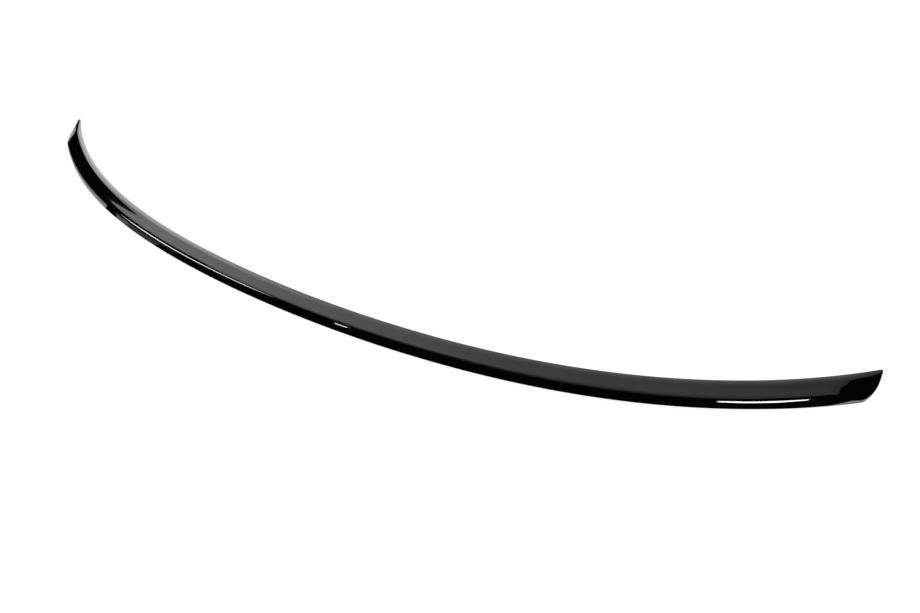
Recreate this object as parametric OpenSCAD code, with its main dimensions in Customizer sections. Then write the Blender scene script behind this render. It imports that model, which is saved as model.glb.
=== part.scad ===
// Trunk lid lip spoiler, one moulded piece, gloss black.
// Axes: +X to the right seen from behind the car, +Y to the front, +Z up.
// Origin: middle of the overall length and depth, on the plane it rests on.
// The part is a long bowed strip. Each cross section is drawn in a plane of
// constant X and the sections are joined end to end.

/* [Length and bow] */
// overall length from tip to tip
span = 1200; // [900:10:1500]
// how far the tips reach forward of the middle
end_sweep = 171; // [60:1:260]
// share of the sweep that comes late, toward the tips
late_sweep = 0.51; // [0:0.01:0.8]

/* [Front edge] */
// height of the front edge above the resting plane at the middle
front_mid = 11.7; // [4:0.1:20]
// height of the front edge at the tips
front_tip = 16.4; // [8:0.1:30]
// extra rise of the front edge between middle and tip
front_arch = 7.8; // [0:0.2:14]
// depth of the rolled front band
roll_depth = 15; // [8:0.5:18]
// height the rolled front band climbs
roll_rise = 2.2; // [0.8:0.1:4]
// thickness of the front nose
nose = 2.4; // [1.6:0.1:4]

/* [Lip and rear face] */
// depth of the strip, front edge to rear face, at the middle
chord_mid = 27.8; // [22:0.1:45]
// depth of the strip at the tips
chord_tip = 32.3; // [22:0.1:45]
// extra depth between middle and tip
chord_swell = 0.3; // [-3:0.1:3]
// height of the lip over the front edge at the middle
lip_mid = 4.7; // [2:0.1:14]
// height of the lip over the front edge, carried on to the tips
lip_tip = -2.1; // [-6:0.1:6]
// forward lean of the rear face from its foot to the lip
rear_lean = 1.6; // [0:0.2:5]
// radius of the lip at the middle
lip_radius_mid = 6; // [3:0.1:7]
// radius of the lip at the tips
lip_radius = 3.2; // [1.5:0.1:5]
// hollow of the top face below a straight line
top_hollow = 0.4; // [0:0.1:1.5]
// rise of the rear lower edge between middle and tip
foot_arch = 10; // [0:0.2:14]
// height of the rear lower edge at the tips, against the middle
foot_tip = -2.2; // [-4:0.2:4]
// radius of the rear lower edge
foot_radius = 0.9; // [0.4:0.1:1.2]

/* [Tips] */
// length over which the lip runs out into each tip
tip_length = 44; // [30:1:90]
// height of the rear edge at the very tip
tip_edge = 4.2; // [3:0.2:8]
// how sharply the lip starts to run out, 0 soft, 1 with a crease
tip_crease = 0.6; // [0:0.1:1]
// how much later that fold starts at the front than at the lip
tip_skew = 7; // [0:1:14]
// rounding of the front corner of each tip
tip_round = 3; // [1:0.5:5]
// how far the rear corner of each tip reaches past the front corner
tip_slant = 0.8; // [-8:0.1:8]
// length of the rounded rear corner at each tip
corner_length = 12; // [8:1:36]
// share of the depth taken off by the rounded corner
corner_share = 0.6; // [0.2:0.05:0.65]
// fullness of that corner, 1 nearly a straight cut, 2 a round
corner_bow = 1.8; // [1.2:0.1:2.4]

/* [Hollow underside] */
// wall thickness of the shell
wall = 2.8; // [2:0.1:4]
// depth of the flat bonding land behind the front edge
land = 8; // [6:0.5:12]
// length of the solid end beyond the hollow
solid_end = 62; // [56:1:150]
// length of the sloped end of the hollow
hollow_run = 9; // [4:1:20]

/* [Hidden] */
half = span / 2;
steps_body = 40;
steps_run = 4;
steps_tip = 12;
steps_corner = 9;

// Small vector helpers
function unit(v) = v / norm(v);
function mix(a, b, k) = a + (b - a) * k;
function clamp(k) = min(1, max(0, k));
function ease(k) = k * k * (3 - 2 * k);
// Share of a side that a rounding may take, never none and never half
function clamp_to(k) = min(0.46, max(0.08, k));

// Lines along the length, t = 0 at the middle and 1 at a tip
function bell(t) = 4 * (t * t - pow(t, 4));
function sweep_y(t) = end_sweep * mix(t * t, pow(t, 4), late_sweep);
function front_z(t) = mix(front_mid, front_tip, t * t) + front_arch * bell(t);
function foot_z(t) = foot_tip * t * t + foot_arch * bell(t);
function chord(t) = mix(chord_mid, chord_tip, t * t) + chord_swell * bell(t);
function lip_line(t) = mix(lip_mid, lip_tip, t * t);
function tip_part(t, late) =
    clamp(1 - (half - t * half) / (tip_length - late));
function fold(k) = mix(ease(k), k * (2 - k), tip_crease);
function runout(t) = fold(tip_part(t, 0));
function front_runout(t) = fold(tip_part(t, tip_skew));
function lip_round(t) = mix(lip_radius_mid, lip_radius, pow(t, 12));
function corner_part(t) = clamp((half - t * half) / corner_length);
function quarter(k, e) = 1 - pow(max(0, 1 - pow(1 - k, e)), 1 / e);
function corner_cut(t) =
    1 - corner_share * quarter(corner_part(t), corner_bow);
function front_cut(t) =
    tip_round * quarter(clamp((half - t * half) / tip_round), 2);
function hollow(t) =
    ease(clamp((half - solid_end - t * half) / hollow_run));

// Arc of n + 1 points that rounds corner v between points a and b
function turn(a, v, b) =
    acos(max(-1, min(1, unit(a - v) * unit(b - v))));
function tangent(a, v, b, r) =
    min(norm(a - v), norm(b - v))
    * clamp_to(r / tan(turn(a, v, b) / 2) / min(norm(a - v), norm(b - v)));
function arc_mix(p, q, w, k) =
    w < 0.02 ? mix(p, q, k)
    : (p * sin((1 - k) * w) + q * sin(k * w)) / sin(w);
function round_off(a, v, b, r, n) =
    let (h = turn(a, v, b) / 2)
    let (m = tangent(a, v, b, r))
    let (p = v + unit(a - v) * m)
    let (q = v + unit(b - v) * m)
    let (flat = h > 89.98)
    let (c = flat ? v : v + unit(unit(a - v) + unit(b - v)) * m / cos(h))
    [for (i = [0 : n])
        flat ? mix(p, q, i / n)
        : c + arc_mix(p - c, q - c, 180 - 2 * h, i / n)];
// Corner v moved inward so both of its sides shift by d
function inset(a, v, b, d) =
    v + unit(unit(a - v) + unit(b - v)) * d / sin(turn(a, v, b) / 2);

// Corner points of one section, [depth behind the front edge, height over it]
function foot_pt(t) = [chord(t), foot_z(t) - front_z(t)];
function nose_pt(t) = [0.5, -nose];
function lip_full(t) = [chord(t) - rear_lean, lip_line(t)];
function chord_at(t, s) =
    mix(0, foot_pt(t)[1], s / chord(t));
function lip_end(t) = foot_pt(t) + [-rear_lean * 0.5, tip_edge];
function lip_pt(t) = mix(lip_full(t), lip_end(t), runout(t));
function roll_pt(t) =
    [roll_depth / 2, roll_rise - front_runout(t) * roll_depth * 0.12];
function mid_pt(t) =
    mix(mix(roll_pt(t), lip_full(t), 0.42) - [0, top_hollow],
        mix(roll_pt(t), lip_end(t), 0.42), front_runout(t));
function base_z(t, s) =
    mix(nose_pt(t)[1], foot_pt(t)[1],
        (s - nose_pt(t)[0]) / (foot_pt(t)[0] - nose_pt(t)[0]));
function base_pt(t, s) = [s, base_z(t, s)];

// Hollow of one section, four corners, then rounded
function hol_rear(t) = base_pt(t, chord(t) - wall * 1.1);
function hol_lip(t) =
    inset(mid_pt(t), lip_pt(t), foot_pt(t), wall) - [0.5, 0];
function hol_front(t) = base_pt(t, land);
function hol_top(t) = [land + 0.8, mid_pt(t)[1] - wall - 0.2];
function hollow_full(t) = concat(
    [hol_rear(t)],
    round_off(hol_rear(t), hol_lip(t), hol_top(t), 1.4, 3),
    round_off(hol_lip(t), hol_top(t), hol_front(t), 1, 2),
    [hol_front(t)]);
hollow_count = 9;
function hollow_flat(t, i) =
    base_pt(t, mix(hol_rear(t)[0], land, i / (hollow_count - 1)));
function hollow_pts(t) =
    let (full = hollow(t) > 0 ? hollow_full(t) : [])
    [for (i = [0 : hollow_count - 1])
        hollow(t) > 0 ? mix(hollow_flat(t, i), full[i], hollow(t))
        : hollow_flat(t, i)];

// Outer skin of one section, front underside round to the rear foot
function skin_pts(t) =
    let (a = nose_pt(t))
    let (f = [0, 0])
    let (r = roll_pt(t))
    let (m = mid_pt(t))
    let (l = lip_pt(t))
    let (b = foot_pt(t))
    concat(
        round_off(base_pt(t, land), a, f, 0.5, 1),
        round_off(a, f, r, 1.2, 2),
        round_off(f, r, m, 40, 4),
        round_off(r, m, l, 90, 3),
        round_off(m, l, b, lip_round(t), 7),
        round_off(l, b, hol_rear(t), foot_radius, 3));

function section(t) = concat(skin_pts(t), hollow_pts(t));
function station(x) =
    let (t = abs(x) / half)
    let (cut = corner_cut(t))
    let (deep = cut - front_cut(t) / chord(t))
    [for (p = section(t))
        [x + sign(x) * tip_slant * p[0] / chord_tip * cut * pow(t, 12),
            sweep_y(t) - front_cut(t) - p[0] * deep,
            front_z(t) + p[1] * cut]];

// Places along the length where a section is drawn, one half then both
tip_x = half - tip_length;
run_x = half - solid_end - hollow_run;
run_end = half - solid_end;
corner_x = half - corner_length;
first_x = min(tip_x, run_x);
half_x = concat(
    [for (i = [1 : steps_body]) first_x * i / steps_body],
    [for (i = [1 : steps_tip])
        let (x = mix(first_x, corner_x, i / steps_tip))
        if (min(abs(x - run_x), abs(x - run_end)) > 1.2) x],
    [for (i = [0 : steps_run]) mix(run_x, run_end, i / steps_run)],
    [for (i = [1 : steps_corner])
        corner_x + corner_length * sin(90 * i / steps_corner)]);
function sorted(v) =
    len(v) < 2 ? v
    : let (p = v[floor(len(v) / 2)])
    concat(sorted([for (q = v) if (q < p) q]), [p],
        sorted([for (q = v) if (q > p) q]));
half_s = sorted(half_x);
count_h = len(half_s);
all_x = concat([for (i = [0 : count_h - 1]) -half_s[count_h - 1 - i]],
    [0], half_s);

ring = len(section(0));
rows = len(all_x);
laid = [for (x = all_x) each station(x)];
laid_y = [for (p = laid) p[1]];
laid_z = [for (p = laid) p[2]];
shift = [0, (min(laid_y) + max(laid_y)) / 2, min(laid_z)];
function total(v, i = 0) =
    i == len(v) - 1 ? v[i] : v[i] + total(v, i + 1);
function ring_mid(k) =
    total([for (j = [0 : ring - 1]) laid[k * ring + j]]) / ring;
end_mids = [ring_mid(0), ring_mid(rows - 1)];
verts = [for (p = concat(laid, end_mids)) p - shift];
skin = [for (i = [0 : rows - 2]) for (j = [0 : ring - 1])
    let (a = i * ring + j)
    let (b = i * ring + (j + 1) % ring)
    let (c = a + ring)
    let (d = b + ring)
    each [[a, d, b], [a, c, d]]];
last = (rows - 1) * ring;
cap_left = [for (j = [0 : ring - 1]) [rows * ring, j, (j + 1) % ring]];
cap_right = [for (j = [0 : ring - 1])
    [rows * ring + 1, last + (j + 1) % ring, last + j]];

// The moulded shell, the only piece
module spoiler_shell() {
    color([0.02, 0.02, 0.022])
    polyhedron(points = verts, faces = concat(skin, cap_left, cap_right));
}

spoiler_shell();
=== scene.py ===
import math

import bpy
from mathutils import Matrix, Vector


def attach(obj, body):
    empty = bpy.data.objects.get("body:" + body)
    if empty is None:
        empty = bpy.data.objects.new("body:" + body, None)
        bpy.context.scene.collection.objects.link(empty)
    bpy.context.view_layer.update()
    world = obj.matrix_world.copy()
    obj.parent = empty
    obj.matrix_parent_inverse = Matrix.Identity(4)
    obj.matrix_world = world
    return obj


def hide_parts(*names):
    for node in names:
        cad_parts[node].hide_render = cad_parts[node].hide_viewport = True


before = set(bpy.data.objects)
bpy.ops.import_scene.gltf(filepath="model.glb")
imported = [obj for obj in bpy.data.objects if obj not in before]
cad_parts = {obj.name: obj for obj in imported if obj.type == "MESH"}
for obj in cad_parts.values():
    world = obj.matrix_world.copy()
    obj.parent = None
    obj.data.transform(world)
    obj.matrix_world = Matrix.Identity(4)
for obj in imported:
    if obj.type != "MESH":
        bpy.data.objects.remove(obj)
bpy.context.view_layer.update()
scene = bpy.context.scene
scene.view_settings.view_transform = "Standard"

# Spoiler skin
# The lip is one moulded strip of black plastic under a clear coat. The mesh is
# the moulding itself, with its triangles joined to four-sided faces and divided
# finer between its creases, so that the gloss runs along it without a ripple.
bpy.ops.object.select_all(action="DESELECT")
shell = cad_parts["spoiler_shell"]
shell.select_set(True)
bpy.context.view_layer.objects.active = shell
bpy.ops.object.duplicate()
skin = bpy.context.active_object
skin.name = "spoiler_skin"
skin.data.name = "spoiler_skin"
same_point = 0.00002
any_bend = 3.1
sharp_edge = math.radians(38)
bpy.ops.object.mode_set(mode="EDIT")
bpy.ops.mesh.select_all(action="SELECT")
bpy.ops.mesh.remove_doubles(threshold=same_point)
bpy.ops.mesh.tris_convert_to_quads(face_threshold=any_bend, shape_threshold=any_bend,
                                   topology_influence=2.0)
bpy.ops.mesh.select_mode(type="EDGE")
bpy.ops.mesh.select_all(action="DESELECT")
bpy.ops.mesh.edges_select_sharp(sharpness=sharp_edge)
bpy.ops.transform.edge_crease(value=1.0)
bpy.ops.object.mode_set(mode="OBJECT")
bpy.ops.object.modifier_add(type="SUBSURF")
skin.modifiers[-1].levels = 2
bpy.ops.object.modifier_apply(modifier=skin.modifiers[-1].name)
bpy.ops.object.shade_smooth_by_angle(angle=sharp_edge)

# Black plastic under clear coat
# The colour runs through the moulding and is almost black. Over it lies a clear
# coat with a faint orange peel and a little dust that dulls the gloss in places.
gloss = bpy.data.materials.new("gloss_black")
gloss.use_nodes = True
gloss_tree = gloss.node_tree
bsdf = gloss_tree.nodes["Principled BSDF"]
bsdf.inputs["IOR"].default_value = 1.5
bsdf.inputs["Coat Weight"].default_value = 1.0
bsdf.inputs["Coat IOR"].default_value = 1.5
bsdf.inputs["Coat Roughness"].default_value = 0.02
place = gloss_tree.nodes.new("ShaderNodeTexCoord")
haze = gloss_tree.nodes.new("ShaderNodeTexNoise")
haze.inputs["Scale"].default_value = 14.0
haze.inputs["Detail"].default_value = 3.0
gloss_tree.links.new(place.outputs["Object"], haze.inputs["Vector"])
tone = gloss_tree.nodes.new("ShaderNodeMix")
tone.data_type = "RGBA"
tone.inputs[6].default_value = (0.0014, 0.0014, 0.0016, 1)
tone.inputs[7].default_value = (0.0026, 0.0026, 0.0029, 1)
gloss_tree.links.new(haze.outputs["Fac"], tone.inputs[0])
gloss_tree.links.new(tone.outputs[2], bsdf.inputs["Base Color"])
dull = gloss_tree.nodes.new("ShaderNodeMapRange")
dull.inputs["From Min"].default_value = 0.35
dull.inputs["From Max"].default_value = 0.75
dull.inputs["To Min"].default_value = 0.06
dull.inputs["To Max"].default_value = 0.1
gloss_tree.links.new(haze.outputs["Fac"], dull.inputs["Value"])
gloss_tree.links.new(dull.outputs["Result"], bsdf.inputs["Roughness"])
peel = gloss_tree.nodes.new("ShaderNodeTexNoise")
peel.inputs["Scale"].default_value = 420.0
peel.inputs["Detail"].default_value = 1.0
gloss_tree.links.new(place.outputs["Object"], peel.inputs["Vector"])
bump = gloss_tree.nodes.new("ShaderNodeBump")
bump.inputs["Strength"].default_value = 0.02
bump.inputs["Distance"].default_value = 0.0002
gloss_tree.links.new(peel.outputs["Fac"], bump.inputs["Height"])
gloss_tree.links.new(bump.outputs["Normal"], bsdf.inputs["Normal"])
skin.data.materials.clear()
skin.data.materials.append(gloss)
shell.data.materials.clear()
shell.data.materials.append(gloss)
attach(skin, "root")
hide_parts("spoiler_shell")


# Floor
# A plain white sheet under the part. It shows white to the camera and in the
# gloss, and the rest of the light falls on it, so the part's shadow stays.
def combined(tree, operation, first, second):
    both = tree.nodes.new("ShaderNodeMath")
    both.operation = operation
    tree.links.new(first, both.inputs[0])
    tree.links.new(second, both.inputs[1])
    return both.outputs[0]


def seen_or_mirrored(tree):
    rays = tree.nodes.new("ShaderNodeLightPath").outputs
    mirrored = combined(tree, "MAXIMUM", rays["Is Glossy Ray"], rays["Is Transmission Ray"])
    return combined(tree, "MAXIMUM", rays["Is Camera Ray"], mirrored)


def fade(tree, value, start, end, first, last):
    step = tree.nodes.new("ShaderNodeMapRange")
    step.inputs["From Min"].default_value = start
    step.inputs["From Max"].default_value = end
    step.inputs["To Min"].default_value = first
    step.inputs["To Max"].default_value = last
    tree.links.new(value, step.inputs["Value"])
    return step.outputs["Result"]


bpy.ops.mesh.primitive_plane_add(size=30, location=(0, 0, 0))
floor = bpy.context.active_object
floor.name = "floor"
paper = bpy.data.materials.new("white_floor")
paper.use_nodes = True
paper_tree = paper.node_tree
paper_tree.nodes.clear()
paper_out = paper_tree.nodes.new("ShaderNodeOutputMaterial")
paper_glow = paper_tree.nodes.new("ShaderNodeEmission")
shown_white = 0.85
paper_power = fade(paper_tree, seen_or_mirrored(paper_tree), 0.0, 1.0, 0.0, shown_white)
paper_tree.links.new(paper_power, paper_glow.inputs["Strength"])
paper_matt = paper_tree.nodes.new("ShaderNodeBsdfDiffuse")
paper_matt.inputs["Color"].default_value = (0.8, 0.8, 0.8, 1)
paper_sum = paper_tree.nodes.new("ShaderNodeAddShader")
paper_tree.links.new(paper_glow.outputs[0], paper_sum.inputs[0])
paper_tree.links.new(paper_matt.outputs[0], paper_sum.inputs[1])
paper_tree.links.new(paper_sum.outputs[0], paper_out.inputs["Surface"])
floor.data.materials.append(paper)

# Room
# The room is white all round for the camera. As light it is a plain grey level,
# so that the floor keeps a soft shadow.
world = bpy.data.worlds.new("studio")
scene.world = world
world.use_nodes = True
room_tree = world.node_tree
room_tree.nodes.clear()
room_out = room_tree.nodes.new("ShaderNodeOutputWorld")
room_glow = room_tree.nodes.new("ShaderNodeBackground")
room_glow.inputs["Color"].default_value = (1, 1, 1, 1)
light_level = 0.4
room_power = fade(room_tree, seen_or_mirrored(room_tree), 0.0, 1.0, light_level, 1.0)
room_tree.links.new(room_power, room_glow.inputs["Strength"])
room_tree.links.new(room_glow.outputs[0], room_out.inputs["Surface"])


# Dark studio
# Black cloth hangs round and over the set, so the gloss stays black wherever
# nothing else of the set shows in it. Only the gloss sees the cloth.
def glow_paint(name, level=1.0):
    paint = bpy.data.materials.new(name)
    paint.use_nodes = True
    tree = paint.node_tree
    tree.nodes.clear()
    out = tree.nodes.new("ShaderNodeOutputMaterial")
    glow = tree.nodes.new("ShaderNodeEmission")
    glow.inputs["Strength"].default_value = level
    tree.links.new(glow.outputs[0], out.inputs["Surface"])
    return paint


def show_in_gloss_only(piece):
    piece.visible_camera = False
    piece.visible_diffuse = False
    piece.visible_shadow = False
    piece.visible_transmission = False


bpy.ops.mesh.primitive_uv_sphere_add(segments=48, ring_count=24, radius=25.0)
cloth = bpy.context.active_object
cloth.name = "black_cloth"
black = glow_paint("black_cloth", 0.003)
cloth.data.materials.append(black)
show_in_gloss_only(cloth)


# Glowing wall
# A tall curved screen stands in front of the part's tips. It glows by itself and
# only the gloss sees it. Its glow is painted light, brighter on the left and
# toward its foot, with painted shade that dims it again in its lower left
# corner. Its paint counts heights from the middle of the screen.
def object_axes(tree):
    place = tree.nodes.new("ShaderNodeTexCoord")
    axes = tree.nodes.new("ShaderNodeSeparateXYZ")
    tree.links.new(place.outputs["Object"], axes.inputs[0])
    return axes.outputs


def grey_ramp(tree, value, steps):
    ramp = tree.nodes.new("ShaderNodeValToRGB")
    stops = ramp.color_ramp.elements
    stops[0].position = steps[0][0]
    stops[1].position = steps[-1][0]
    for spot, level in steps[1:-1]:
        stops.new(spot)
    for stop, (spot, level) in zip(stops, steps):
        stop.color = (level, level, level, 1)
    tree.links.new(value, ramp.inputs["Fac"])
    return ramp.outputs["Color"]


wall_radius = 6.0
wall_height = 14.0
wall_left = math.radians(-59.5)
wall_right = math.radians(67.6)
bpy.ops.mesh.primitive_cylinder_add(vertices=720, radius=wall_radius, depth=wall_height,
                                    end_fill_type="NOTHING", location=(0, 0, wall_height / 2))
wall = bpy.context.active_object
wall.name = "glowing_wall"
bpy.ops.object.mode_set(mode="EDIT")
bpy.ops.mesh.select_all(action="DESELECT")
bpy.ops.object.mode_set(mode="OBJECT")
for face in wall.data.polygons:
    turn = math.atan2(face.center.x, face.center.y)
    face.select = not wall_left < turn < wall_right
bpy.ops.object.mode_set(mode="EDIT")
bpy.ops.mesh.delete(type="FACE")
bpy.ops.object.mode_set(mode="OBJECT")
screen = glow_paint("glowing_wall")
screen_tree = screen.node_tree
screen_glow = screen_tree.nodes["Emission"]
screen_axes = object_axes(screen_tree)
across = fade(screen_tree, screen_axes["X"], -wall_radius, wall_radius, 0.0, 1.0)
# Painted light: the glow is brightest on the left and falls off to the right.
screen_grey = grey_ramp(screen_tree, across, (
    (0.06, 0.5), (0.125, 0.48), (0.15, 0.415), (0.2, 0.345), (0.24, 0.29),
    (0.28, 0.25), (0.33, 0.225), (0.38, 0.215), (0.5, 0.212), (0.62, 0.195),
    (0.71, 0.182), (0.79, 0.16), (0.88, 0.14), (0.96, 0.1)))
screen_tree.links.new(screen_grey, screen_glow.inputs["Color"])
# Painted light: the glow rises toward the foot, most on the left.
foot_level = fade(screen_tree, screen_axes["X"], -4.4, -3.3, 4.4, 2.2)
rise = screen_tree.nodes.new("ShaderNodeMapRange")
rise.inputs["From Min"].default_value = -4.3
rise.inputs["From Max"].default_value = -3.65
rise.inputs["To Max"].default_value = 2.0
screen_tree.links.new(screen_axes["Z"], rise.inputs["Value"])
screen_tree.links.new(foot_level, rise.inputs["To Min"])
# Painted shade dims the glow in the lower left corner.
corner_side = fade(screen_tree, screen_axes["X"], -4.9, -4.3, 0.5, 1.03)
corner_top = fade(screen_tree, screen_axes["Z"], -4.55, -4.1, 0.4, 1.0)
corner = combined(screen_tree, "MAXIMUM", corner_side, corner_top)
screen_power = combined(screen_tree, "MULTIPLY", rise.outputs["Result"], corner)
screen_tree.links.new(screen_power, screen_glow.inputs["Strength"])
wall.data.materials.append(screen)
show_in_gloss_only(wall)


# Foot screen
# A low pale screen stands before the wall's left foot and lights the thin edge
# that runs down from the left tip.
def flat_piece(name, corners):
    bpy.ops.mesh.primitive_plane_add(size=1, location=(0, 0, 0))
    piece = bpy.context.active_object
    piece.name = name
    round_the_edge = (0, 1, 3, 2)
    for at, corner in zip(round_the_edge, corners):
        piece.data.vertices[at].co = corner
    return piece


foot_top = 1.9
low = flat_piece("foot_screen", (
    (-4.19, 4.25, 0.0), (-3.82, 4.6, 0.0), (-3.82, 4.6, foot_top), (-4.19, 4.25, foot_top)))
low.data.materials.append(glow_paint("foot_screen", 2.5))
show_in_gloss_only(low)

# Ceiling
# A soft overhead screen fades away toward the back, so the gloss fades over the
# rounded lip. It is brighter on the left.
roof_left = -11.9
roof_right = 11.0
roof_back = -16.8
roof_front = 6.0
roof_height = 14.0
roof = flat_piece("ceiling", (
    (roof_left, roof_back, roof_height), (roof_right, roof_back, roof_height),
    (roof_right, roof_front, roof_height), (roof_left, roof_front, roof_height)))
soft = glow_paint("ceiling")
soft_tree = soft.node_tree
soft_glow = soft_tree.nodes["Emission"]
soft_axes = object_axes(soft_tree)
forward = fade(soft_tree, soft_axes["Y"], roof_back, roof_front, 0.0, 1.0)
soft_grey = grey_ramp(soft_tree, forward, (
    (0.0, 0.015), (0.12, 0.025), (0.245, 0.05), (0.37, 0.09), (0.48, 0.14),
    (0.55, 0.19), (0.645, 0.25), (0.736, 0.33), (0.86, 0.4), (1.0, 0.42)))
soft_tree.links.new(soft_grey, soft_glow.inputs["Color"])
soft_power = fade(soft_tree, soft_axes["X"], -9.0, -4.5, 2.2, 1.0)
soft_tree.links.new(soft_power, soft_glow.inputs["Strength"])
roof.data.materials.append(soft)
show_in_gloss_only(roof)

# Floor cards
# The cards glow at set levels and only the gloss sees them. Black cards lie
# behind the rear face and keep it dark, and grey ones lie at its left end and
# put painted light into the gloss there. Three light tables draw the bright
# lines on the lip. A card's corners are given in order round it, and it lies at
# one of two heights over the floor.
card_paints = {"black": black}
# Each paint is a set glow level; the grey ones are painted light.
for name, level in (("pale", 0.45), ("mid", 0.25), ("dim", 0.1), ("bright", 14.0), ("spot", 8.0)):
    card_paints[name] = glow_paint(name + "_card", level)
under = 0.0004
over = 0.0008
for name, paint, height, corners in (
    ("black_card", "black", under,
     ((-0.27, -1.2), (0.47, -1.2), (0.47, 0.1), (-0.27, 0.1))),
    ("black_card_right", "black", under,
     ((0.47, -1.2), (0.545, -1.2), (0.545, 0.03), (0.47, -0.018))),
    ("black_card_end", "black", under,
     ((0.545, -1.2), (14.0, -1.2), (14.0, 8.37), (0.545, 0.0235))),
    ("black_card_far", "black", under,
     ((-14.0, -14.0), (14.0, -14.0), (14.0, -1.2), (-14.0, -1.2))),
    ("black_card_gap", "black", under,
     ((-0.55, -1.2), (-0.366, -1.2), (-0.366, 0.2), (-0.55, 0.2))),
    ("black_card_left", "black", under,
     ((-14.0, -1.2), (-0.55, -1.2), (-0.55, 0.12), (-14.0, 6.5))),
    ("pale_card", "pale", over,
     ((-0.55, -0.114), (-0.398, -0.055), (-0.398, 0.2), (-0.55, 0.2))),
    ("pale_card_far", "pale", over,
     ((-2.0, -0.58), (-0.55, -0.114), (-0.55, 0.2), (-2.0, 0.2))),
    ("mid_card_left", "mid", over,
     ((-0.55, -0.181), (-0.366, -0.088), (-0.366, -0.064), (-0.55, -0.14))),
    ("mid_card", "mid", under,
     ((-0.366, -1.2), (-0.344, -1.2), (-0.344, 0.2), (-0.366, 0.2))),
    ("dim_card", "dim", under,
     ((-0.344, -1.2), (-0.27, -1.2), (-0.27, 0.2), (-0.344, 0.2))),
    ("light_table", "bright", over,
     ((1.545, -1.195), (1.965, -0.715), (0.585, -0.001), (0.4885, -0.0565))),
    ("light_table_near", "bright", over,
     ((0.4885, -0.0565), (0.585, -0.001), (0.537, -0.006), (0.502, -0.031))),
    ("light_table_spot", "spot", over,
     ((-0.03, -0.23), (-0.008, -0.24), (0.047, -0.115), (0.033, -0.112))),
):
    card = flat_piece(name, [(x, y, height) for x, y in corners])
    card.data.materials.append(card_paints[paint])
    show_in_gloss_only(card)

# Lamps
# Two strip boxes stand behind the part and draw the bright lines along the lip.
# Only the gloss sees them. Their turn round the part counts from its front side,
# and each one faces the middle of the part.
lamp_distance = 5
for name, turn, height, wide, tall, power in (
    ("strip_right", 132.2, 0.16, 0.46, 0.32, 6.5),
    ("strip_left", -121.5, 2.7, 2.76, 1.1, 105),
):
    lamp = bpy.data.lights.new(name, "AREA")
    lamp.shape = "RECTANGLE"
    lamp.size = wide
    lamp.size_y = tall
    lamp.energy = power
    strip = bpy.data.objects.new(name, lamp)
    scene.collection.objects.link(strip)
    aim = math.radians(turn)
    strip.location = (lamp_distance * math.sin(aim), lamp_distance * math.cos(aim), height)
    strip.rotation_euler = (math.radians(90), 0, math.radians(180 - turn))
    strip.visible_diffuse = False

# Camera
# It stands behind the right end and looks down along the bow. Its place and its
# three axes come from a fit of the part's outline in the view.
eye = bpy.data.cameras.new("eye")
eye.sensor_width = 36.0
eye.lens = 28.174
eye_right = Vector((0.88282, 0.46861, -0.03213))
eye_up = Vector((-0.30934, 0.63152, 0.71098))
eye_back = Vector((0.35346, -0.61773, 0.70248))
eye_place = (0.45553, -0.52865, 0.60302)
camera = bpy.data.objects.new("eye", eye)
scene.collection.objects.link(camera)
turned = Matrix((eye_right, eye_up, eye_back)).transposed().to_4x4()
camera.matrix_world = Matrix.Translation(eye_place) @ turned
scene.camera = camera
